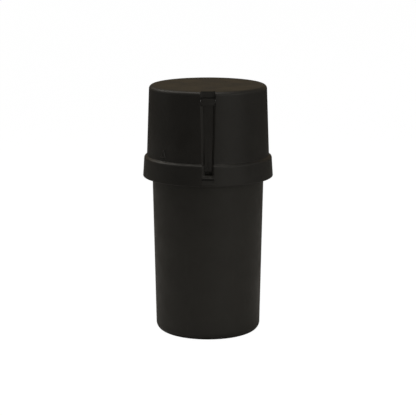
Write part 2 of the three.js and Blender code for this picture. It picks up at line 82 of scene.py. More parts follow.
TOP_Z = SHELL_HIGH.z
CEILING_Z = TOP_Z - 1.8
LIP_Z = SHELL_LOW.z
COLLAR_R = SHELL_HIGH.x
COLLAR_TOP_R = COLLAR_R - 0.45
LEDGE_Z = LIP_Z + 8.2
CAP_FOOT_R = COLLAR_R - 1.55
CAP_TOP_R = CAP_FOOT_R - 0.98
CAP_WALL = 1.6
CAP_EDGE_R = 1.5

CUP_R = BASE_HIGH.x - 2.7
CUP_BORE = CUP_R - 1.4
DECK_Z = PLATE_LOW.z - 0.1
CLUTCH_COUNT = 12
PLATE_TOP_Z = PLATE_LOW.z + 1.5
PLUNGER_FACE_Z = PLUNGER_LOW.z + 6.6

SLOT_BOTTOM_Z = LIP_Z + 3.3
SLOT_HEAD_Z = TOP_Z - 5.2
EASE_LEFT, EASE_RIGHT = 0.4, 0.29  # of the slot's half-width, taken by the chamfer of each edge
EASE_DEPTH = 0.7
PIN_Y = (PIN_LOW.y + PIN_HIGH.y) / 2
PIN_Z = (PIN_LOW.z + PIN_HIGH.z) / 2
PIN_R = (PIN_HIGH.z - PIN_LOW.z) / 2
WINDOW_HALF = 1.0
WINDOW_LOW_Z = PAD_LOW.z - 0.3
WINDOW_HIGH_Z = PAD_HIGH.z + 0.3

ROUND = 192  # facets round the outer pieces
HIDDEN_ROUND = 144  # facets round the inner pieces


def between(z, z0, z1, value0, value1):
    return value0 + (value1 - value0) * (z - z0) / (z1 - z0)


def cap_radius(z):
    return between(z, LEDGE_Z, TOP_Z, CAP_FOOT_R, CAP_TOP_R)


def slot_half(z):
    return between(z, SLOT_BOTTOM_Z, TOP_Z, 2.15, 3.0)


def follow(points, z):
    """The value at height z along a list of (z, value) points."""
    if z <= points[0][0]:
        return points[0][1]
    for (z0, v0), (z1, v1) in zip(points, points[1:]):
        if z <= z1:
            return between(z, z0, z1, v0, v1)
    return points[-1][1]


# ---------------------------------------------------------------- mesh helpers
def arc(centre_r, centre_z, radius, start, end, steps=8):
    """Points on an arc in the (radius, z) plane, angles in degrees."""
    angles = [math.radians(start + (end - start) * i / steps) for i in range(steps + 1)]
    return [(centre_r + radius * math.cos(a), centre_z + radius * math.sin(a)) for a in angles]


def bend(start, corner, end, steps=3):
    """Points from start to end that round off the corner."""
    start, corner, end = Vector(start), Vector(corner), Vector(end)
    shares = [k / steps for k in range(steps + 1)]
    return [tuple(start * (1 - s) ** 2 + corner * 2 * s * (1 - s) + end * s * s) for s in shares]


def softened(points, radius=SOFT, closed=False, steps=3):
    """The outline with its sharp corners rounded. An open outline keeps its two ends."""
    GENTLE = math.radians(25)  # turns below this are left as they are
    count = len(points)
    result = []
    for i, here in enumerate(points):
        corner = Vector(here)
        back = Vector(points[i - 1]) - corner
        ahead = Vector(points[(i + 1) % count]) - corner
        turn = math.pi - back.angle(ahead)
        if turn < GENTLE or (not closed and i in (0, count - 1)):
            result.append(tuple(here))
            continue
        reach = min(radius * math.tan(turn / 2), back.length * 0.45, ahead.length * 0.45)
        result += bend(corner + back.normalized() * reach, corner, corner + ahead.normalized() * reach, steps)
    return result


def mesh_object(name, verts, faces):
    mesh = bpy.data.meshes.new(name)
    mesh.from_pydata([tuple(v) for v in verts], [], faces)
    obj = bpy.data.objects.new(name, mesh)
    bpy.context.scene.collection.objects.link(obj)
    shape = bmesh.new()
    shape.from_mesh(mesh)
    bmesh.ops.remove_doubles(shape, verts=shape.verts, dist=1e-4)
    bmesh.ops.dissolve_degenerate(shape, edges=shape.edges, dist=1e-5)
    bmesh.ops.recalc_face_normals(shape, faces=shape.faces)
    shape.to_mesh(mesh)
    shape.free()
    return obj


def skinned(name, rings, ends=True):
    """A skin through rings of points.

    With ends it is closed by two flat faces, and without them the rings form a loop.
    """
    count = len(rings[0])
    verts = [p for ring in rings for p in ring]
    faces = []
    pairs = len(rings) - 1 if ends else len(rings)
    for i in range(pairs):
        here, there = i * count, (i + 1) % len(rings) * count
        for k in range(count):
            n = (k + 1) % count
            faces.append((here + k, here + n, there + n, there + k))
    if ends:
        faces.append(tuple(range(count - 1, -1, -1)))
        faces.append(tuple(range((len(rings) - 1) * count, len(rings) * count)))
    return mesh_object(name, verts, faces)


def turned(name, outline, facets=HIDDEN_ROUND, closed=False):
    """A solid of revolution about Z. The outline ends on the axis at both ends, or it is closed."""
    verts, rings, faces = [], [], []
    for r, z in outline:
        on_axis = r < 1e-6
        rings.append([len(verts) + (0 if on_axis else k) for k in range(facets)])
        angles = [0] if on_axis else [math.tau * k / facets for k in range(facets)]
        verts += [(r * math.cos(a), r * math.sin(a), z) for a in angles]
    following = rings[1:] + rings[:1] if closed else rings[1:]
    for here, there in zip(rings, following):
        for k in range(facets):
            n = (k + 1) % facets
            corners = dict.fromkeys((here[k], here[n], there[n], there[k]))
            if len(corners) > 2:
                faces.append(tuple(corners))
    return mesh_object(name, verts, faces)


def radial_plate(name, outline, half, rounding=SOFT):
    """A flat plate on the -Y half-plane with that (radius, z) outline, its edges rounded."""
    sides = [[(x, -r, z) for r, z in outline] for x in (-half, half)]
    return rounded(skinned(name, sides), rounding)


def block(name, x_half, y0, y1, z0, z1, rounding=SOFT):
    corners = [(-x_half, y0), (x_half, y0), (x_half, y1), (-x_half, y1)]
    return rounded(skinned(name, [[(x, y, z) for x, y in corners] for z in (z0, z1)]), rounding)


def apply_modifiers(obj):
    depsgraph = bpy.context.evaluated_depsgraph_get()
    mesh = bpy.data.meshes.new_from_object(obj.evaluated_get(depsgraph))
    obj.modifiers.clear()
    old, obj.data = obj.data, mesh
    bpy.data.meshes.remove(old)
    return obj


def rounded(obj, width, segments=2, angle=30):
    if width <= 0:
        return obj
    bevel = obj.modifiers.new("round", "BEVEL")
    bevel.width = width
    bevel.segments = segments
    bevel.limit_method = "ANGLE"
    bevel.angle_limit = math.radians(angle)
    return apply_modifiers(obj)


def remove(obj):
    mesh = obj.data
    bpy.data.objects.remove(obj)
    bpy.data.meshes.remove(mesh)


def combine(obj, operation, *others):
    """Joins or cuts obj with each of the others, which are used up."""
    for other in others:
        step = obj.modifiers.new(operation, "BOOLEAN")
        step.operation = operation
        step.solver = "EXACT"
        step.object = other
        apply_modifiers(obj)
        remove(other)
    return obj


def around(obj, count, start_deg=0):
    """Copies of obj round the Z axis, as one mesh in place of it."""
    shape = bmesh.new()
    for i in range(count):
        copy = obj.data.copy()
        copy.transform(Matrix.Rotation(math.radians(start_deg + 360 * i / count), 4, "Z"))
        shape.from_mesh(copy)
        bpy.data.meshes.remove(copy)
    shape.to_mesh(obj.data)
    shape.free()
    return obj


def lying_along_x(obj, y, z):
    """Turns an object made round Z to lie along X through (y, z)."""
    obj.data.transform(Matrix.Translation((0, y, z)) @ Matrix.Rotation(math.pi / 2, 4, "Y"))
    return obj


def cylinder_along_x(name, radius, end):
    """A cylinder round the hinge pin's axis, from -end to end."""
    return lying_along_x(turned(name, [(0, -end), (radius, -end), (radius, end), (0, end)], 48), PIN_Y, PIN_Z)


def place(obj, body, slot, material, *nodes):
    """Scales a finished piece to metres and puts it on its body in place of its CAD nodes."""
    obj.data.transform(Matrix.Scale(MM, 4))
    obj.data.shade_smooth()
    obj.data.set_sharp_from_angle(angle=math.radians(40))
    obj.data.materials.clear()
    obj.data.materials.append(material)
    weighted = obj.modifiers.new("even shading", "WEIGHTED_NORMAL")
    weighted.keep_sharp = True
    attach(obj, body)
    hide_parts(*nodes)
    return obj


# ---------------------------------------------------------------- materials
class Nodes:
    """Short calls for building one material's node tree."""

    def __init__(self, name):
        self.material = bpy.data.materials.new(name)
        self.material.use_nodes = True
        self.tree = self.material.node_tree
        self.shader = self.tree.nodes["Principled BSDF"]
        self.place = self.add("ShaderNodeTexCoord").outputs["Object"]

    def add(self, kind, inputs=None, **settings):
        node = self.tree.nodes.new(kind)
        for key, value in settings.items():
            setattr(node, key, value)
        for key, value in (inputs or {}).items():
            self.feed(node.inputs[key], value)
        return node

    def feed(self, socket, value):
        if isinstance(value, bpy.types.NodeSocket):
            self.tree.links.new(value, socket)
        else:
            socket.default_value = value

    def noise(self, scale, detail=4.0, roughness=0.55, stretch=None):
        """Noise with that many features a metre."""
        where = self.place
        if stretch:
            where = self.add("ShaderNodeMapping", {"Vector": where, "Scale": stretch}).outputs["Vector"]
        wanted = {"Vector": where, "Scale": scale, "Detail": detail, "Roughness": roughness}
        return self.add("ShaderNodeTexNoise", wanted).outputs["Fac"]

    def remap(self, value, low, high, to_low, to_high):
        wanted = {"Value": value, "From Min": low, "From Max": high, "To Min": to_low, "To Max": to_high}
        return self.add("ShaderNodeMapRange", wanted).outputs["Result"]

    def mix(self, share, first, second):
        node = self.add("ShaderNodeMix", data_type="RGBA")
        for socket, value in zip((node.inputs[0], node.inputs[6], node.inputs[7]), (share, first, second)):
            self.feed(socket, value)
        return node.outputs[2]

    def math(self, operation, first, second=0.0):
        return self.add("ShaderNodeMath", {0: first, 1: second}, operation=operation).outputs[0]

    def edge(self, radius):
        """1 on edges sharper than the radius in metres, 0 on open faces."""
        round_normal = self.add("ShaderNodeBevel", {"Radius": radius}, samples=6).outputs["Normal"]
        normal = self.add("ShaderNodeNewGeometry").outputs["Normal"]
        alike = self.add("ShaderNodeVectorMath", {0: round_normal, 1: normal}, operation="DOT_PRODUCT")
        return self.remap(alike.outputs["Value"], 0.95, 0.7, 0.0, 1.0)

    def bump(self, height, distance, strength=1.0, below=None):
        wanted = {"Height": height, "Distance": distance, "Strength": strength}
        if below:
            wanted["Normal"] = below
        return self.add("ShaderNodeBump", wanted).outputs["Normal"]

    def finish(self, **inputs):
        for key, value in inputs.items():
            self.feed(self.shader.inputs[key.replace("_", " ")], value)
        return self.material


def moulded_plastic(name, dark, light, worn, rough=(0.36, 0.5), grain=0.00001):
    """Textured moulding with fine spark grain, slow sink waves and drifting colour.

    Its edges are polished and paler, and its faces carry faint scuffs.
    """
    nodes = Nodes(name)
    drift = nodes.remap(nodes.noise(55, 3), 0.35, 0.65, 0.0, 1.0)
    colour = nodes.mix(drift, (*dark, 1), (*light, 1))
    scuff_field = nodes.noise(900, 2, 0.4, stretch=(1, 1, 0.12))
    scuffs = nodes.remap(scuff_field, 0.66, 0.74, 0.0, 0.5)
    wear = nodes.math("MULTIPLY", nodes.edge(0.0002), nodes.remap(nodes.noise(420, 4), 0.35, 0.6, 0.1, 0.8))
    marks = nodes.math("MAXIMUM", wear, nodes.math("MULTIPLY", scuffs, 0.3))
    colour = nodes.mix(marks, colour, (*worn, 1))
    roughness = nodes.remap(nodes.noise(130, 5), 0.3, 0.7, *rough)
    roughness = nodes.math("SUBTRACT", roughness, nodes.math("MULTIPLY", wear, 0.08))
    spark = nodes.noise(5200, 2, 0.6)
    waves = nodes.bump(nodes.noise(38, 2), 0.00012, 0.1)
    surface = nodes.bump(spark, grain, 0.6, below=waves)
    return nodes.finish(Base_Color=colour, Roughness=roughness, Normal=surface, IOR=1.46)


def seal_rubber(name):
    """Matt rubber with a fine flow texture and a dusty bloom."""
    nodes = Nodes(name)
    bloom = nodes.remap(nodes.noise(300, 5), 0.4, 0.7, 0.0, 1.0)
    colour = nodes.mix(bloom, (0.03, 0.028, 0.027, 1), (0.06, 0.057, 0.053, 1))
    roughness = nodes.remap(nodes.noise(700, 3), 0.3, 0.7, 0.68, 0.88)
    surface = nodes.bump(nodes.noise(2600, 4), 0.00003, 0.5)
    return nodes.finish(Base_Color=colour, Roughness=roughness, Normal=surface, Sheen_Weight=0.15)


def white_acetal(name):
    """Waxy white plastic with turning marks and a slightly translucent body."""
    nodes = Nodes(name)
    tint = nodes.remap(nodes.noise(220, 3), 0.35, 0.65, 0.0, 1.0)
    colour = nodes.mix(tint, (0.74, 0.72, 0.66, 1), (0.82, 0.81, 0.77, 1))
    surface = nodes.bump(nodes.noise(1800, 3), 0.00002, 0.4)
    roughness = nodes.remap(nodes.noise(500, 3), 0.3, 0.7, 0.34, 0.5)
    return nodes.finish(Base_Color=colour, Roughness=roughness, Normal=surface, Subsurface_Weight=0.1,
                        Subsurface_Scale=0.001)


def spring_steel(name):
    """Bright rolled steel with fine drawing lines and dull spots."""
    nodes = Nodes(name)
    lines = nodes.noise(2400, 3, 0.6, stretch=(0.08, 1, 1))
    colour = nodes.mix(nodes.noise(260, 3), (0.42, 0.43, 0.45, 1), (0.58, 0.59, 0.6, 1))
    roughness = nodes.remap(nodes.noise(900, 4), 0.3, 0.7, 0.2, 0.38)
    surface = nodes.bump(lines, 0.000008, 0.5)
    return nodes.finish(Base_Color=colour, Roughness=roughness, Normal=surface, Metallic=1.0)


CAP_BLACK = moulded_plastic(
    "cap_plastic", (0.0082, 0.0074, 0.0062), (0.0105, 0.0095, 0.0082), (0.026, 0.024, 0.021),
)
VIAL_BLACK = moulded_plastic(
    "vial_plastic", (0.0155, 0.0143, 0.0122), (0.0180, 0.0168, 0.0143), (0.032, 0.030, 0.026),
    rough=(0.46, 0.58),
)
INNER_BLACK = moulded_plastic(
    "tooth_plastic", (0.012, 0.0115, 0.0105), (0.017, 0.016, 0.015), (0.045, 0.043, 0.04),
    rough=(0.42, 0.56),
)
RUBBER = seal_rubber("seal_rubber")
ACETAL = white_acetal("white_acetal")
STEEL = spring_steel("spring_steel")


# ---------------------------------------------------------------- storage vial
THREAD_Z = RIM_Z - 5.3  # middle of the vial's thread where it starts


def thread_ridge(name, root_r, crest_r, start_turn, end_turn, z_at_zero):
    """A right-handed thread ridge with rounded crest, running out at both ends."""
    RUN_OUT = 0.06  # turns
    END_HEIGHT = 0.35  # share of the full height left at the two ends
    ROOT_HALF, CREST_HALF = 0.9, 0.6
    ROUNDING = 0.2
    steps = round((end_turn - start_turn) * ROUND)
    rings = []
    for i in range(steps + 1):
        turn = start_turn + (end_turn - start_turn) * i / steps
        share = min(1.0, END_HEIGHT + min(turn - start_turn, end_turn - turn) / RUN_OUT)
        crest = root_r + (crest_r - root_r) * share
        middle = z_at_zero + THREAD_PITCH * turn
        section = [(root_r, middle - ROOT_HALF), (crest, middle - CREST_HALF), (crest, middle + CREST_HALF),
                   (root_r, middle + ROOT_HALF)]
        angle = turn * math.tau
        rings.append([(r * math.cos(angle), r * math.sin(angle), z) for r, z in softened(section, ROUNDING)])
    return skinned(name, rings)


def storage_vial():
    WALL = 1.55
    FLOOR_Z = 2.7
    BOTTOM_R = VIAL_HIGH.x - 1.22
    CORNER_R, INNER_CORNER_R = 3.05, 1.9
    SHOULDER_ROUNDING, RIM_EDGE = 0.5, 0.4
    RECESS_R, RECESS_Z, RECESS_SLOPE = 14.2, 1.0, 1.0
    GATE_R, GATE_RIM_R, GATE_BLEND_R = 0.9, 1.2, 1.6  # the mark of the moulding gate, under the floor
    GATE_DROP, GATE_RIM_DROP = 0.35, 0.2
    inner_top_r = VIAL_HIGH.x - WALL
    inner_bottom_r = BOTTOM_R - WALL
    bore = NECK_R - 1.5
    turn_in_z = SHOULDER_Z - WALL
    gate = [(0, RECESS_Z - GATE_DROP), (GATE_R, RECESS_Z - GATE_DROP), (GATE_RIM_R, RECESS_Z - GATE_RIM_DROP)]
    outer = [
        (GATE_BLEND_R, RECESS_Z), (RECESS_R, RECESS_Z), (RECESS_R + RECESS_SLOPE, 0),
        *arc(BOTTOM_R - CORNER_R, CORNER_R, CORNER_R, -90, 0, 14),
        *arc(VIAL_HIGH.x - SHOULDER_ROUNDING, SHOULDER_Z - SHOULDER_ROUNDING, SHOULDER_ROUNDING, 0, 90, 5),
        (NECK_R, SHOULDER_Z), (NECK_R, RIM_Z - RIM_EDGE), (NECK_R - RIM_EDGE, RIM_Z),
    ]
    inner = [
        (bore + RIM_EDGE, RIM_Z), (bore, RIM_Z - RIM_EDGE), (bore, turn_in_z),
        (inner_top_r, turn_in_z - inner_top_r + bore),
        *arc(inner_bottom_r - INNER_CORNER_R, FLOOR_Z + INNER_CORNER_R, INNER_CORNER_R, 0, -90, 8),
        (0, FLOOR_Z),
    ]
    body = turned("vial_moulding", softened([*gate, *outer, *inner], 0.25), ROUND)
    thread = thread_ridge("thread", NECK_R - BURIED, NECK_R + THREAD_HEIGHT, 0, 1, THREAD_Z)
    return combine(body, "UNION", thread)


# ---------------------------------------------------------------- inner closure
# Four keys in the cup fit notches in the lower teeth, and the plunger has notches at the same four places.
KEY_COUNT, KEY_START_DEG = 4, 45
KEY_HALF, KEY_DEPTH, KEY_HEIGHT = 0.7, 0.7, 1.2


def crusher_base():
    PLUG_INNER_R, PLUG_R, PLUG_Z = 15.9, 17.1, RIM_Z - 1.4
    EDGE = 0.4
    DECK_UNDER_Z = DECK_Z - 1.6
    DECK_EDGE_R, DECK_EDGE_Z = CUP_R + 1.4, DECK_Z - 0.2
    LUG_HALF, LUG_HEIGHT = 2.4, 1.0
    THREAD_START, THREAD_END = 0.42, 1.35  # turns
    skirt_r = BASE_HIGH.x
    skirt_bore = NECK_R + THREAD_HEIGHT + GAP
    outline = [
        (0, DECK_UNDER_Z), (PLUG_INNER_R, DECK_UNDER_Z), (PLUG_INNER_R, PLUG_Z), (PLUG_R - 0.5, PLUG_Z),
        (PLUG_R, PLUG_Z + 0.5), (PLUG_R, DECK_UNDER_Z), (skirt_bore, DECK_UNDER_Z),
        (skirt_bore, BASE_LOW.z + EDGE), (skirt_bore + EDGE, BASE_LOW.z), (skirt_r, BASE_LOW.z),
        (skirt_r, DECK_UNDER_Z), (DECK_EDGE_R, DECK_EDGE_Z), (CUP_R, DECK_EDGE_Z), (CUP_R, BASE_HIGH.z),
        (CUP_BORE + EDGE, BASE_HIGH.z), (CUP_BORE, BASE_HIGH.z - EDGE), (CUP_BORE, DECK_Z), (0, DECK_Z),
    ]
    body = turned("closure_moulding", softened(outline))
    lug_outline = [
        (DECK_EDGE_R, DECK_EDGE_Z - BURIED), (DECK_EDGE_R, DECK_Z + LUG_HEIGHT),
        (CUP_R - BURIED, DECK_Z + LUG_HEIGHT), (CUP_R - BURIED, DECK_EDGE_Z - BURIED),
    ]
    lugs = around(radial_plate("lugs", lug_outline, LUG_HALF), CLUTCH_COUNT)
    key_outline = [
        (CUP_BORE + BURIED, DECK_Z - BURIED), (CUP_BORE + BURIED, DECK_Z + KEY_HEIGHT),
        (CUP_BORE - KEY_DEPTH, DECK_Z + KEY_HEIGHT), (CUP_BORE - KEY_DEPTH, DECK_Z - BURIED),
    ]
    keys = around(radial_plate("keys", key_outline, KEY_HALF, 0.1), KEY_COUNT, KEY_START_DEG)
    # Half a pitch below the vial's thread, this one runs in its gap.
    thread = thread_ridge("thread", skirt_bore + BURIED, skirt_bore - THREAD_HEIGHT, THREAD_START, THREAD_END,
                          THREAD_Z - THREAD_PITCH / 2)
    window = block("window", WINDOW_HALF + GAP, -CUP_R - 1, -CUP_BORE + 1, WINDOW_LOW_Z - GAP,
                   WINDOW_HIGH_Z + GAP, 0.4)
    combine(body, "UNION", lugs, keys, thread)
    return combine(body, "DIFFERENCE", window)


# ---------------------------------------------------------------- crushing teeth
def tooth(name, radius, root_z, tip_z):
    """A four-sided tooth with rounded edges, a flared root and a softened tip."""
    ROOT, TIP = (1.4, 1.9), (0.7, 0.6)  # half-widths along the radius and across it
    ROUNDING = 0.25
    away = math.copysign(1, tip_z - root_z)
    height = abs(tip_z - root_z)
    # (distance from the root, width as a share of the straight taper)
    stations = [
        (-BURIED, 1.16), (0.0, 1.16), (0.25, 1.05), (0.7, 1.0),
        (height - 0.25, 1.0), (height - 0.08, 0.93), (height, 0.75),
    ]
    rings = []
    for rise, wide in stations:
        share = max(0.0, rise) / height
        radial, across = [(a + (b - a) * share) * wide for a, b in zip(ROOT, TIP)]
        diamond = [(-across, 0), (0, -radial), (across, 0), (0, radial)]
        outline = softened(diamond, ROUNDING, closed=True)
        rings.append([(x, y - radius, root_z + away * rise) for x, y in outline])
    return skinned(name, rings)


def lower_tooth_plate():
    INNER_R, INNER_COUNT = 7.6, 6
    OUTER_R, OUTER_COUNT = 14.6, 10
    CONE_FOOT_R, CONE_R, CONE_TIP_R = 2.1, 1.6, 0.25  # the middle cone and its flared foot
    tip_z = PLATE_HIGH.z
    outline = [
        (0, PLATE_LOW.z), (PLATE_HIGH.x, PLATE_LOW.z), (PLATE_HIGH.x, PLATE_TOP_Z),
        (CONE_FOOT_R, PLATE_TOP_Z), (CONE_R, PLATE_TOP_Z + 0.5), (CONE_TIP_R, tip_z - 1.1), (0, tip_z - 1.0),
    ]
    plate = turned("lower_teeth", softened(outline))
    inner_ring = around(tooth("inner_ring", INNER_R, PLATE_TOP_Z, tip_z), INNER_COUNT)
    outer_ring = around(tooth("outer_ring", OUTER_R, PLATE_TOP_Z, tip_z), OUTER_COUNT, 180 / OUTER_COUNT)
    notch = block("notch", KEY_HALF + GAP, -CUP_BORE - 1, -CUP_BORE + KEY_DEPTH + GAP, DECK_Z - 1,
                  PLATE_TOP_Z + 1, 0.1)
    combine(plate, "UNION", inner_ring, outer_ring)
    return combine(plate, "DIFFERENCE", around(notch, KEY_COUNT, KEY_START_DEG))


def tooth_plunger():
    INNER_R, INNER_COUNT = 4.0, 4
    OUTER_R, OUTER_COUNT = 11.1, 8
    FLOOR_Z = PLUNGER_FACE_Z + 3.0
    GROOVE_R, GROOVE_PLAY = PLUNGER_HIGH.x - 1.3, 0.085
    NOTCH_HALF, NOTCH_DEPTH = 0.6 + GAP, 3.4
    EDGE = 0.4
    radius, bore, top_z = PLUNGER_HIGH.x, PLUNGER_HIGH.x - 1.4, PLUNGER_HIGH.z
    groove_low_z, groove_high_z = ORING_LOW.z - GROOVE_PLAY, ORING_HIGH.z + GROOVE_PLAY
    outline = [
        (0, PLUNGER_FACE_Z), (radius - EDGE, PLUNGER_FACE_Z), (radius, PLUNGER_FACE_Z + EDGE),
        (radius, groove_low_z), (GROOVE_R, groove_low_z), (GROOVE_R, groove_high_z), (radius, groove_high_z),
        (radius, top_z), (bore, top_z), (bore, FLOOR_Z), (0, FLOOR_Z),
    ]
    body = turned("plunger_moulding", softened(outline))
    tip_z = PLUNGER_LOW.z
    inner_ring = around(tooth("inner_ring", INNER_R, PLUNGER_FACE_Z, tip_z), INNER_COUNT)
    outer_ring = around(tooth("outer_ring", OUTER_R, PLUNGER_FACE_Z, tip_z), OUTER_COUNT, 180 / OUTER_COUNT)
    notch = block("notch", NOTCH_HALF, -radius - 1, -bore + 1, top_z - NOTCH_DEPTH, top_z + 1, 0.1)
    combine(body, "UNION", inner_ring, outer_ring)
    return combine(body, "DIFFERENCE", around(notch, KEY_COUNT, KEY_START_DEG))


# ---------------------------------------------------------------- outer cap
FLOOR_STEP = 0.02  # height over which a step in the slot's floor happens
SHELF_Z = SLOT_BOTTOM_Z + 0.9  # top of the shelf at the slot's foot
STEP_BACK_Z = LEDGE_Z + 3.4  # from here up, the floor leans back into the cap
HEAD_STEP_Z = PIN_Z + 1.3  # above the hinge the floor steps forward again
COLLAR_FLOOR_Y, HEAD_FLOOR_Y = -22.5, -20.1
# Floor of the lever's slot and inner face of the wall behind it, as (z, y) points.
SLOT_FLOOR = [
    (SLOT_BOTTOM_Z, -COLLAR_R), (SLOT_BOTTOM_Z + 0.06, 0.35 - COLLAR_R), (SHELF_Z, 0.75 - COLLAR_R),
    (SLOT_BOTTOM_Z + 1.3, COLLAR_FLOOR_Y), (STEP_BACK_Z, COLLAR_FLOOR_Y), (LEDGE_Z + 5, -21.6),
    (SLOT_HEAD_Z - FLOOR_STEP, -20.95), (SLOT_HEAD_Z, HEAD_FLOOR_Y), (HEAD_STEP_Z, HEAD_FLOOR_Y),
    (HEAD_STEP_Z + FLOOR_STEP, -20.7), (TOP_Z, -20.3),
]
SLOT_BACK = [
    (SLOT_BOTTOM_Z - 1.2, -21.7), (LEDGE_Z + 2.6, -21.7), (LEDGE_Z + 4.4, -20.4),
    (SLOT_HEAD_Z - 2, -19.75), (SLOT_HEAD_Z - 0.8, -18.95),
]
LEDGE_UNDER_Z = LEDGE_Z - CAP_WALL


def slotted_ring(radius, z, half, ease, floor_y):
    """A circle with a slot cut in from the -Y side down to floor_y.

    The slot's edges have chamfers, given as ease: the left width, the right width and the depth.
    """
    ARC_POINTS, FLOOR_POINTS = 240, 6
    LIP = 0.12  # the edge between chamfer and circle is rounded by this
    CORNER = 0.25  # rounding where the walls meet the floor
    depth = max(0.0, floor_y + math.sqrt(radius**2 - half**2))
    fall = min(ease[2], depth * 0.7)
    corner = min(CORNER, depth * 0.25)

    def dip(x):
        """How far the circle lies behind the slot's edge, at x."""
        return math.sqrt(radius**2 - half**2) - math.sqrt(radius**2 - x**2)

    def flank(width):
        """(x, depth) points from the circle down one chamfer and wall to the floor."""
        lip = width * 0.25 if width < LIP * 4 else LIP
        wall = half - width
        chamfer = [(half - width * share, fall * share) for share in (lip / width, 0.4, 0.7, 1.0)]
        edge = bend((half + LIP, dip(half + LIP)), (half, 0), chamfer[0])
        return edge + chamfer[1:] + bend((wall, depth - corner), (wall, depth), (wall - corner, depth), 4)

    left, right = [(-x, d) for x, d in flank(ease[0])], flank(ease[1])[::-1]
    floor_start, floor_end = left[-1][0], right[0][0]
    floor = [(between(i, 0, FLOOR_POINTS, floor_start, floor_end), depth) for i in range(1, FLOOR_POINTS)]
    slot = left + floor + right
    if depth == 0:
        slot = [(x, dip(x)) for x, _ in slot]
    start = math.asin((half + LIP) / radius)
    angles = [start + (math.tau - 2 * start) * i / ARC_POINTS for i in range(1, ARC_POINTS)]
    circle = [(radius * math.sin(a), -radius * math.cos(a)) for a in angles]
    edge_y = -math.sqrt(radius**2 - half**2)
    return [(x, y, z) for x, y in circle] + [(x, edge_y + d, z) for x, d in slot]


def outer_surface():
    """Rings up the outside of the cap, from the lip to the edge of the flat top."""
    LIP_ROUNDING = 0.3
    LEDGE_FILLET, FILLET_SHIFT = 0.3, 0.02  # the fillet where the cap meets the ledge
    HEAD_HALF, HEAD_EASE = 2.9, 0.12  # the pocket round the lever's head has straight sides and no chamfers
    shoulder_r = COLLAR_TOP_R - CAP_FOOT_R
    shoulder_z = LEDGE_Z - shoulder_r
    edge_z = TOP_Z - CAP_EDGE_R
    collar_levels = [SLOT_BOTTOM_Z + d for d in (-0.6, 0, 0.06, 0.3, 0.6, 0.9, 1.0, 1.15, 1.3, 2.2, 3.2)]
    cap_levels = [LEDGE_Z + d for d in (1.4, 2.4, 3.4, 4.2, 5, 9, 13, 17)]
    cap_levels += [SLOT_HEAD_Z - 1.5, SLOT_HEAD_Z - FLOOR_STEP, SLOT_HEAD_Z]
    cap_levels += [HEAD_STEP_Z, HEAD_STEP_Z + FLOOR_STEP]
    profile = [
        (COLLAR_R - LIP_ROUNDING, LIP_Z),
        *arc(COLLAR_R - LIP_ROUNDING, LIP_Z + LIP_ROUNDING, LIP_ROUNDING, -60, 0, 3),
        *((between(z, LIP_Z, shoulder_z, COLLAR_R, COLLAR_TOP_R), z) for z in collar_levels),
        *arc(CAP_FOOT_R, shoulder_z, shoulder_r, 0, 75, 9),
    ]
    fillet_r = CAP_FOOT_R + LEDGE_FILLET + FILLET_SHIFT
    profile += arc(fillet_r, LEDGE_Z + LEDGE_FILLET, LEDGE_FILLET, 255, 185, 5)
    profile += [(cap_radius(z), z) for z in cap_levels]
    profile += arc(cap_radius(edge_z) - CAP_EDGE_R, edge_z, CAP_EDGE_R, 0, 90, 12)
    rings = []
    for radius, z in profile:
        in_head = z >= SLOT_HEAD_Z
        half = HEAD_HALF if in_head else slot_half(z)
        ease = (HEAD_EASE,) * 3 if in_head else (half * EASE_LEFT, half * EASE_RIGHT, EASE_DEPTH)
        rings.append(slotted_ring(radius, z, half, ease, follow(SLOT_FLOOR, z)))
    return rings


def inner_surface():
    """Rings down the inside of the cap, from the ceiling to the lip."""
    SIDE = 1.3  # the wall behind the slot is wider than the slot by this on each side
    WALL_EASE = 0.3
    CEILING_ROUNDING = 0.5
    ceiling_r = cap_radius(CEILING_Z) - CAP_WALL
    above_step_r = cap_radius(LEDGE_UNDER_Z) - CAP_WALL
    below_step_r = COLLAR_TOP_R - CAP_WALL
    foot_z = SLOT_BACK[0][0]
    levels = [SLOT_HEAD_Z, SLOT_HEAD_Z - 0.8, SLOT_HEAD_Z - 2]
    levels += [LEDGE_Z + d for d in (15, 8, 4.4, 2.6, 0)] + [LEDGE_UNDER_Z + 0.2]
    profile = arc(ceiling_r - CEILING_ROUNDING, CEILING_Z - CEILING_ROUNDING, CEILING_ROUNDING, 90, 0, 4)
    profile += [(cap_radius(z) - CAP_WALL, z) for z in levels]
    profile += softened([
        (above_step_r, LEDGE_UNDER_Z + 0.1), (above_step_r, LEDGE_UNDER_Z),
        (below_step_r, LEDGE_UNDER_Z), (below_step_r + 0.02, LEDGE_UNDER_Z - 1),
    ])
    profile += [(below_step_r + 0.15, foot_z + 0.01), (below_step_r + 0.16, foot_z - 0.01)]
    profile += [(COLLAR_R - 1.8, LIP_Z + 0.25), (COLLAR_R - 1.7, LIP_Z + 0.05), (COLLAR_R - 1.5, LIP_Z)]
    rings = []
    for radius, z in profile:
        back_y = follow(SLOT_BACK, z) if z > foot_z else -radius - 1
        rings.append(slotted_ring(radius, z, slot_half(z) + SIDE, (WALL_EASE,) * 3, back_y))
    return rings


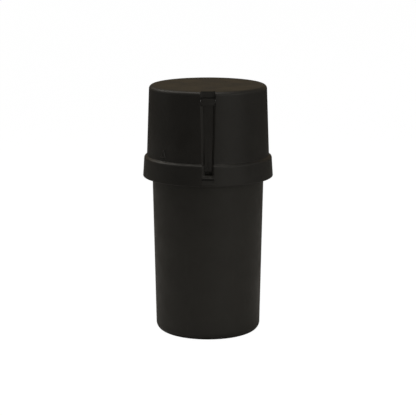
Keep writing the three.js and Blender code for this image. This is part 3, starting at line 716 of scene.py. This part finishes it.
def alignment_mark():
    """A raised triangle above the collar, pointing up."""
    ANGLE = 45.6  # degrees to the left of the lever
    LOW_Z, HIGH_Z, HALF, PROUD = LEDGE_Z + 1.2, LEDGE_Z + 4.8, 1.5, 0.65
    ROUNDING = 0.35
    FLANK = (0.25, 0.5, 0.75, 1.0, 1.25)  # angles up the pillow-shaped flank, in radians
    radius = cap_radius((LOW_Z + HIGH_Z) / 2)
    centre_z = LOW_Z + (HIGH_Z - LOW_Z) / 3
    triangle = softened([(-HALF, LOW_Z), (HALF, LOW_Z), (0, HIGH_Z)], ROUNDING, closed=True, steps=5)
    # (height above the cap, size), from inside the wall outwards
    layers = [(-0.6, 1.15), (0, 1.08), *((PROUD * math.sin(a), math.cos(a)) for a in FLANK)]
    rings = []
    for height, size in layers:
        rings.append([(x * size, -radius - height, centre_z + (z - centre_z) * size) for x, z in triangle])
    mark = skinned("mark", rings)
    mark.data.transform(Matrix.Rotation(math.radians(-ANGLE), 4, "Z"))
    return mark


def finger_scoop():
    """A shallow ramp cut in the collar, where a fingertip gets under the end of the lever."""
    BELOW_SLOT, HEIGHT, DEPTH, HALF = 0.4, 2.1, 0.7, 2.3
    FOOT_DEPTH = 0.05  # what is left of the depth where the ramp ends
    NAIL_GROOVE = 0.35  # height of the deeper groove along the top, which is twice as deep as the ramp
    top_z, front_y = SLOT_BOTTOM_Z - BELOW_SLOT, -COLLAR_R - 1
    groove_low_z, low_z = top_z - NAIL_GROOVE, top_z - HEIGHT
    section = [
        (front_y, top_z), (2 * DEPTH - COLLAR_R, top_z), (2 * DEPTH - COLLAR_R, groove_low_z),
        (DEPTH - COLLAR_R, groove_low_z), (FOOT_DEPTH - COLLAR_R, low_z), (front_y, low_z),
    ]
    outline = softened(section, 0.1, closed=True)
    return skinned("scoop", [[(x, y, z) for y, z in outline] for x in (-HALF, HALF)])


def clutch_ribs():
    """Long ribs that drop between the closure's lugs in a pressed cap, and short ones in the collar."""
    RIB_HALF, SKIRT_RIB_HALF, ROUNDING = 0.6, 0.5, 0.1
    HALF_STEP = 180 / CLUTCH_COUNT  # degrees, so that the ribs stand between the lugs
    face_r = CUP_R + GAP
    low_z, top_z = DECK_Z + 1.6, CEILING_Z + BURIED
    foot_root_r, top_root_r = [cap_radius(z) - CAP_WALL + BURIED for z in (LEDGE_Z, CEILING_Z)]
    outline = [(face_r, low_z), (foot_root_r, low_z), (top_root_r, top_z), (face_r, top_z)]
    skirt_face_r, skirt_low_z, skirt_top_z = COLLAR_TOP_R - 3.0, LIP_Z + 1.8, LEDGE_UNDER_Z + BURIED
    skirt_outline = [
        (skirt_face_r, skirt_low_z), (COLLAR_R - 1.5, skirt_low_z),
        (COLLAR_R - 1.6, skirt_top_z), (skirt_face_r, skirt_top_z),
    ]
    ribs = radial_plate("ribs", outline, RIB_HALF, ROUNDING)
    skirt_ribs = radial_plate("skirt_ribs", skirt_outline, SKIRT_RIB_HALF, ROUNDING)
    return [around(rib, CLUTCH_COUNT, HALF_STEP) for rib in (ribs, skirt_ribs)]


def plunger_spigot():
    """The tube under the ceiling that the plunger is pushed over."""
    INNER_R, OUTER_R, LENGTH = 14.1, 15.3, 6.7
    low_z, high_z = CEILING_Z - LENGTH, CEILING_Z + BURIED
    outline = [(INNER_R, high_z), (INNER_R, low_z), (OUTER_R, low_z), (OUTER_R, high_z)]
    return turned("spigot", softened(outline, closed=True), closed=True)


def cap_shell():
    SOCKET_PLAY, SOCKET_END = 0.08, 3.85
    FRAME_SIDE, FRAME_BELOW, FRAME_ABOVE = 1.2, 0.7, 0.9
    FRAME_FRONT_Y = -20.7
    CUT_FRONT_Y, CUT_BACK_Y = -23, -18  # well clear of the wall on both sides
    # The first ring is the top's edge and the last ring is the ceiling's edge, so the two end faces are flat.
    body = skinned("cap_moulding", outer_surface()[::-1] + inner_surface()[::-1])
    window_frame = block("window_frame", WINDOW_HALF + FRAME_SIDE, FRAME_FRONT_Y, -CUP_R - GAP,
                         WINDOW_LOW_Z - FRAME_BELOW, WINDOW_HIGH_Z + FRAME_ABOVE)
    combine(body, "UNION", *clutch_ribs(), plunger_spigot(), window_frame, alignment_mark())
    window = block("window", WINDOW_HALF, CUT_FRONT_Y, CUT_BACK_Y, WINDOW_LOW_Z, WINDOW_HIGH_Z, 0.3)
    sockets = cylinder_along_x("sockets", PIN_R + SOCKET_PLAY, SOCKET_END)
    return combine(body, "DIFFERENCE", window, sockets, finger_scoop())


# ---------------------------------------------------------------- pour lever
HEAD_SIZE = 1.08  # half the depth of the lever's head
BORE_R = PIN_R + 0.06
CUT_END = 4  # cuts along the pin end beyond the head by this x
TIP_Z = LEVER_LOW.z
# Depth of the lever's face below the cap's surface, as (z, depth).
# Higher up it meets the foot of the slot's chamfers.
RECESS = [(TIP_Z, 0.25), (LEDGE_Z, 0.35), (STEP_BACK_Z, 0.5), (LEDGE_Z + 9, 0.75)]


def lever_face(z):
    return follow(RECESS, z) - cap_radius(z)


def lever_blade():
    """The long blade, from its rounded tip up into the head."""
    SIDE_GAP = 0.04
    TIP_ROUNDING, EDGE_ROUNDING = 0.35, 0.06
    top_z = PIN_Z + 0.1
    behind = [
        (TIP_Z + 0.5, -22.65), (STEP_BACK_Z, -22.65), (LEDGE_Z + 5.2, -21.85), (SLOT_HEAD_Z - 1, -21.2),
        (top_z, PIN_Y + 0.5),
    ]
    levels = [TIP_Z + d for d in (0, 0.15, 0.5, 1.5)]
    levels += [LEDGE_Z + d for d in (0, 2, 3.4, 4.3, 5.2, 9, 14, 18)]
    levels += [SLOT_HEAD_Z - 1, top_z]
    rings = []
    for z in levels:
        tip_round = max(0.0, TIP_ROUNDING - (z - TIP_Z))
        tip_slope = tip_round * 0.6
        left = slot_half(z) * (1 - EASE_LEFT) - SIDE_GAP - tip_slope
        right = slot_half(z) * (1 - EASE_RIGHT) - SIDE_GAP - tip_slope
        face_y = lever_face(z) + tip_slope
        back_y = follow(behind, z) - tip_round
        section = [(-left, face_y), (right, face_y), (right, back_y), (-left, back_y)]
        rings.append([(x, y, z) for x, y in softened(section, EDGE_ROUNDING, closed=True)])
    return skinned("lever_moulding", rings)


def lever_head():
    """The head round the pin. Its face leans back, and its skirt closes the slot's head below the pin."""
    HALF, EDGE, EDGE_SIZE = 2.7, 0.06, 0.95
    LEAN, SKIRT = 0.3, 1.45
    BACK_ROUNDING, FRONT_ROUNDING = 0.3, 0.08
    front_y, back_y = PIN_Y - HEAD_SIZE, PIN_Y + HEAD_SIZE
    top_z, skirt_z = PIN_Z + HEAD_SIZE, PIN_Z - SKIRT
    # (y, z) round the back of the head, from the skirt up
    back = [(PIN_Y, skirt_z), (back_y, PIN_Z - 0.9), (back_y, PIN_Z + 0.78), (PIN_Y, PIN_Z + 0.94)]
    section = softened(
        [*softened(back, BACK_ROUNDING, steps=6), (front_y + LEAN, top_z), (front_y, skirt_z)],
        FRONT_ROUNDING, closed=True)
    rings = []
    for x, size in ((-HALF, EDGE_SIZE), (EDGE - HALF, 1.0), (HALF - EDGE, 1.0), (HALF, EDGE_SIZE)):
        rings.append([(x, PIN_Y + (y - PIN_Y) * size, PIN_Z + (z - PIN_Z) * size) for y, z in section])
    head = skinned("head", rings)
    return combine(head, "DIFFERENCE", cylinder_along_x("bore", BORE_R, CUT_END))


def lever_groove():
    """The cutter for the fine groove down the middle of the lever's face."""
    HALF, DEPTH = 0.16, 0.08
    section = [(-HALF, -1), (HALF, -1), (HALF, DEPTH), (-HALF, DEPTH)]
    levels = [TIP_Z + 2.8, STEP_BACK_Z, LEDGE_Z + 9, SLOT_HEAD_Z - 2]
    return skinned("groove", [[(x, lever_face(z) + y, z) for x, y in section] for z in levels])


def pour_lever():
    """The lever, with a seat for the pad in its back and a short slit near its tip."""
    SEAT_FRONT_Y, SEAT_BACK_Y, SEAT_PLAY = -22.3, -20, 0.1
    SLIT_HALF, SLIT_DEPTH, SLIT_FRONT_Y = 0.2, 0.5, -26
    head = lever_head()
    blade_end_r = (BORE_R + HEAD_SIZE) / 2  # the blade ends inside the head's wall
    hollow = cylinder_along_x("hollow", blade_end_r, CUT_END)
    seat = block("seat", WINDOW_HALF, SEAT_FRONT_Y, SEAT_BACK_Y, WINDOW_LOW_Z - SEAT_PLAY,
                 WINDOW_HIGH_Z + SEAT_PLAY, 0.1)
    slit_back_y = lever_face(TIP_Z) + SLIT_DEPTH
    slit = block("slit", SLIT_HALF, SLIT_FRONT_Y, slit_back_y, TIP_Z + 1.1, TIP_Z + 3.2, 0.08)
    blade = combine(lever_blade(), "DIFFERENCE", hollow, seat, slit, lever_groove())
    return combine(blade, "UNION", head)


def lever_pin():
    end = PIN_HIGH.x
    outline = softened([(0, -end), (PIN_R, -end), (PIN_R, end), (0, end)], 0.2)
    return lying_along_x(turned("hinge_pin", outline, 48), PIN_Y, PIN_Z)


def lever_pad():
    return block("sealing_pad", PAD_HIGH.x, PAD_LOW.y, PAD_HIGH.y, PAD_LOW.z, PAD_HIGH.z, 0.28)


# ---------------------------------------------------------------- rings and spring
def washer_ring(name, low, high, inner_r, rounding):
    outline = [(inner_r, low.z), (high.x, low.z), (high.x, high.z), (inner_r, high.z)]
    return turned(name, softened(outline, rounding, closed=True), closed=True)


def o_ring():
    section_r = (ORING_HIGH.z - ORING_LOW.z) / 2
    outline = arc(ORING_HIGH.x - section_r, (ORING_HIGH.z + ORING_LOW.z) / 2, section_r, 0, 345, 23)
    return turned("o_ring", outline, closed=True)


def wave_spring():
    WAVES, STEPS, THICKNESS, WIDTH = 3, 240, 0.4, 1.3
    outer_r = SPRING_HIGH.x
    swing = (SPRING_HIGH.z - SPRING_LOW.z - THICKNESS) / 2
    rings = []
    for i in range(STEPS):
        angle = math.tau * i / STEPS
        z = SPRING_LOW.z + swing + swing * math.cos(WAVES * angle)
        inner_r, top_z = outer_r - WIDTH, z + THICKNESS
        section = [(inner_r, z), (outer_r, z), (outer_r, top_z), (inner_r, top_z)]
        rounded_section = softened(section, 0.12, closed=True)
        rings.append([(r * math.cos(angle), r * math.sin(angle), height) for r, height in rounded_section])
    return skinned("wave_spring", rings, ends=False)


# ---------------------------------------------------------------- assembly
place(storage_vial(), "vial", "black_plastic", VIAL_BLACK, "storage_vial")
place(washer_ring("rim_seal", SEAL_LOW, SEAL_HIGH, NECK_R - 1.4, 0.3), "neck_seal", "seal_rubber", RUBBER,
      "vial_seal_ring")
place(crusher_base(), "closure", "tooth_plastic", INNER_BLACK, "crusher_base")
place(lower_tooth_plate(), "closure", "tooth_plastic", INNER_BLACK, "lower_tooth_plate")
place(washer_ring("slip_washer", WASHER_LOW, WASHER_HIGH, PLUNGER_HIGH.x + GAP, 0.12), "closure",
      "white_acetal", ACETAL, "thrust_washer")
place(wave_spring(), "closure", "spring_steel", STEEL, "push_spring")
place(o_ring(), "plunger_seal", "seal_rubber", RUBBER, "plunger_o_ring")
place(tooth_plunger(), "cap", "tooth_plastic", INNER_BLACK, "tooth_plunger")
place(cap_shell(), "cap", "black_plastic", CAP_BLACK, "cap_shell")
place(pour_lever(), "lever", "black_plastic", CAP_BLACK, "pour_lever")
place(lever_pin(), "cap", "spring_steel", STEEL, "lever_pin")
place(lever_pad(), "lever", "seal_rubber", RUBBER, "lever_pad")


# ---------------------------------------------------------------- studio
def camera_view():
    """The view of a long lens a little above the object."""
    TARGET = Vector((0, 0, 0.5)) * TOP_Z * MM
    DISTANCE = 6.728 * TOP_Z * MM
    PITCH = math.radians(11.66)  # how far the camera looks down
    camera = bpy.data.objects.new("camera", bpy.data.cameras.new("camera"))
    bpy.context.scene.collection.objects.link(camera)
    camera.location = TARGET + DISTANCE * Vector((0, -math.cos(PITCH), math.sin(PITCH)))
    camera.rotation_euler = (math.pi / 2 - PITCH, 0, 0)
    camera.data.sensor_width = 36
    camera.data.lens = 144.25
    camera.data.shift_y = -0.0012
    bpy.context.scene.camera = camera


def seen_directly(tree):
    return tree.nodes.new("ShaderNodeLightPath").outputs["Is Camera Ray"]


def pale_floor_material():
    """Shows nearly white. Its colour carries a painted pool of light, brightest near the object and falling
    off away from it, and the object reflects it.
    """
    NEAR, FAR = 0.12, 0.55  # metres from the object
    # painted pool of light: the floor's colour near the object and far from it
    BRIGHT, DIM = 0.62, 0.12
    WHITE = 0.93  # share of the view that shows as plain white; the rest is lit, and carries a faint shadow
    nodes = Nodes("pale_floor")
    where = nodes.add("ShaderNodeNewGeometry").outputs["Position"]
    away = nodes.add("ShaderNodeVectorMath", {0: where}, operation="LENGTH").outputs["Value"]
    nodes.finish(Base_Color=nodes.remap(away, NEAR, FAR, BRIGHT, DIM), Roughness=0.9, Specular_IOR_Level=0.0)
    grain = nodes.add("ShaderNodeTexNoise", {"Scale": 14}).outputs["Fac"]
    strength = nodes.remap(grain, 0.0, 1.0, 1.06, 1.08)
    pale = nodes.add("ShaderNodeEmission", {"Strength": strength}).outputs[0]
    shown = nodes.math("MULTIPLY", seen_directly(nodes.tree), WHITE)
    mixed = nodes.add("ShaderNodeMixShader", {0: shown, 1: nodes.shader.outputs[0], 2: pale}).outputs[0]
    nodes.feed(nodes.tree.nodes["Material Output"].inputs["Surface"], mixed)
    return nodes.material


def studio_floor():
    """A plain pale floor just under the object."""
    SIZE, DROP = 6.0, 0.0002  # metres
    corners = [(-SIZE, -SIZE), (SIZE, -SIZE), (SIZE, SIZE), (-SIZE, SIZE)]
    floor = mesh_object("floor", [(x, y, -DROP) for x, y in corners], [(0, 1, 2, 3)])
    floor.data.materials.append(pale_floor_material())


def backdrop_light():
    """White straight ahead. In reflections it is a soft grey, and a warm brown low down behind the object."""
    SHOWN, REFLECTED, BEHIND = (1, 1, 1, 1), (0.2, 0.195, 0.18, 1), (0.172, 0.134, 0.084, 1)
    BROWN_FROM, BROWN_FULL = 0.2, 0.95  # how far towards +Y a ray points
    world = bpy.data.worlds.new("studio")
    bpy.context.scene.world = world
    world.use_nodes = True
    tree = world.node_tree
    background = tree.nodes["Background"]
    direction = tree.nodes.new("ShaderNodeSeparateXYZ")
    tree.links.new(tree.nodes.new("ShaderNodeTexCoord").outputs["Generated"], direction.inputs[0])
    behind = tree.nodes.new("ShaderNodeMapRange")
    behind.inputs["From Min"].default_value = BROWN_FROM
    behind.inputs["From Max"].default_value = BROWN_FULL
    tree.links.new(direction.outputs["Y"], behind.inputs["Value"])
    colours = []
    layers = ((behind.outputs["Result"], REFLECTED, BEHIND), (seen_directly(tree), None, SHOWN))
    for share, first, second in layers:
        node = tree.nodes.new("ShaderNodeMix")
        node.data_type = "RGBA"
        tree.links.new(share, node.inputs[0])
        if first:
            node.inputs[6].default_value = first
        else:
            tree.links.new(colours[-1], node.inputs[6])
        node.inputs[7].default_value = second
        colours.append(node.outputs[2])
    tree.links.new(colours[-1], background.inputs["Color"])


def softbox(name, place_at, size, watts, colour):
    """A rectangular soft light that points at the middle of the object."""
    AIM = Vector((0, 0, 0.05))
    light = bpy.data.lights.new(name, "AREA")
    light.shape = "RECTANGLE"
    light.size, light.size_y = size
    light.energy = watts
    light.color = colour
    obj = bpy.data.objects.new(name, light)
    bpy.context.scene.collection.objects.link(obj)
    obj.location = place_at
    obj.rotation_euler = (AIM - Vector(place_at)).to_track_quat("-Z", "Y").to_euler()


WARM, SOFT_WARM, NEUTRAL = (1.0, 0.95, 0.87), (1.0, 0.965, 0.89), (1.0, 0.97, 0.9)
camera_view()
studio_floor()
backdrop_light()
softbox("overhead", (-0.05, -0.05, 0.9), (0.9, 0.5), 2.6, WARM)
softbox("back_left", (-0.62, 0.33, 0.72), (0.5, 0.5), 1.6, WARM)
softbox("right_front", (0.9, -1.05, 0.45), (1.6, 1.0), 3.6, SOFT_WARM)
softbox("right_side", (1.1, 0.1, 0.35), (0.9, 0.9), 0.4, SOFT_WARM)
softbox("left", (-1.1, 0.1, 0.2), (0.9, 0.5), 0.15, NEUTRAL)
bpy.context.scene.view_settings.view_transform = "Standard"
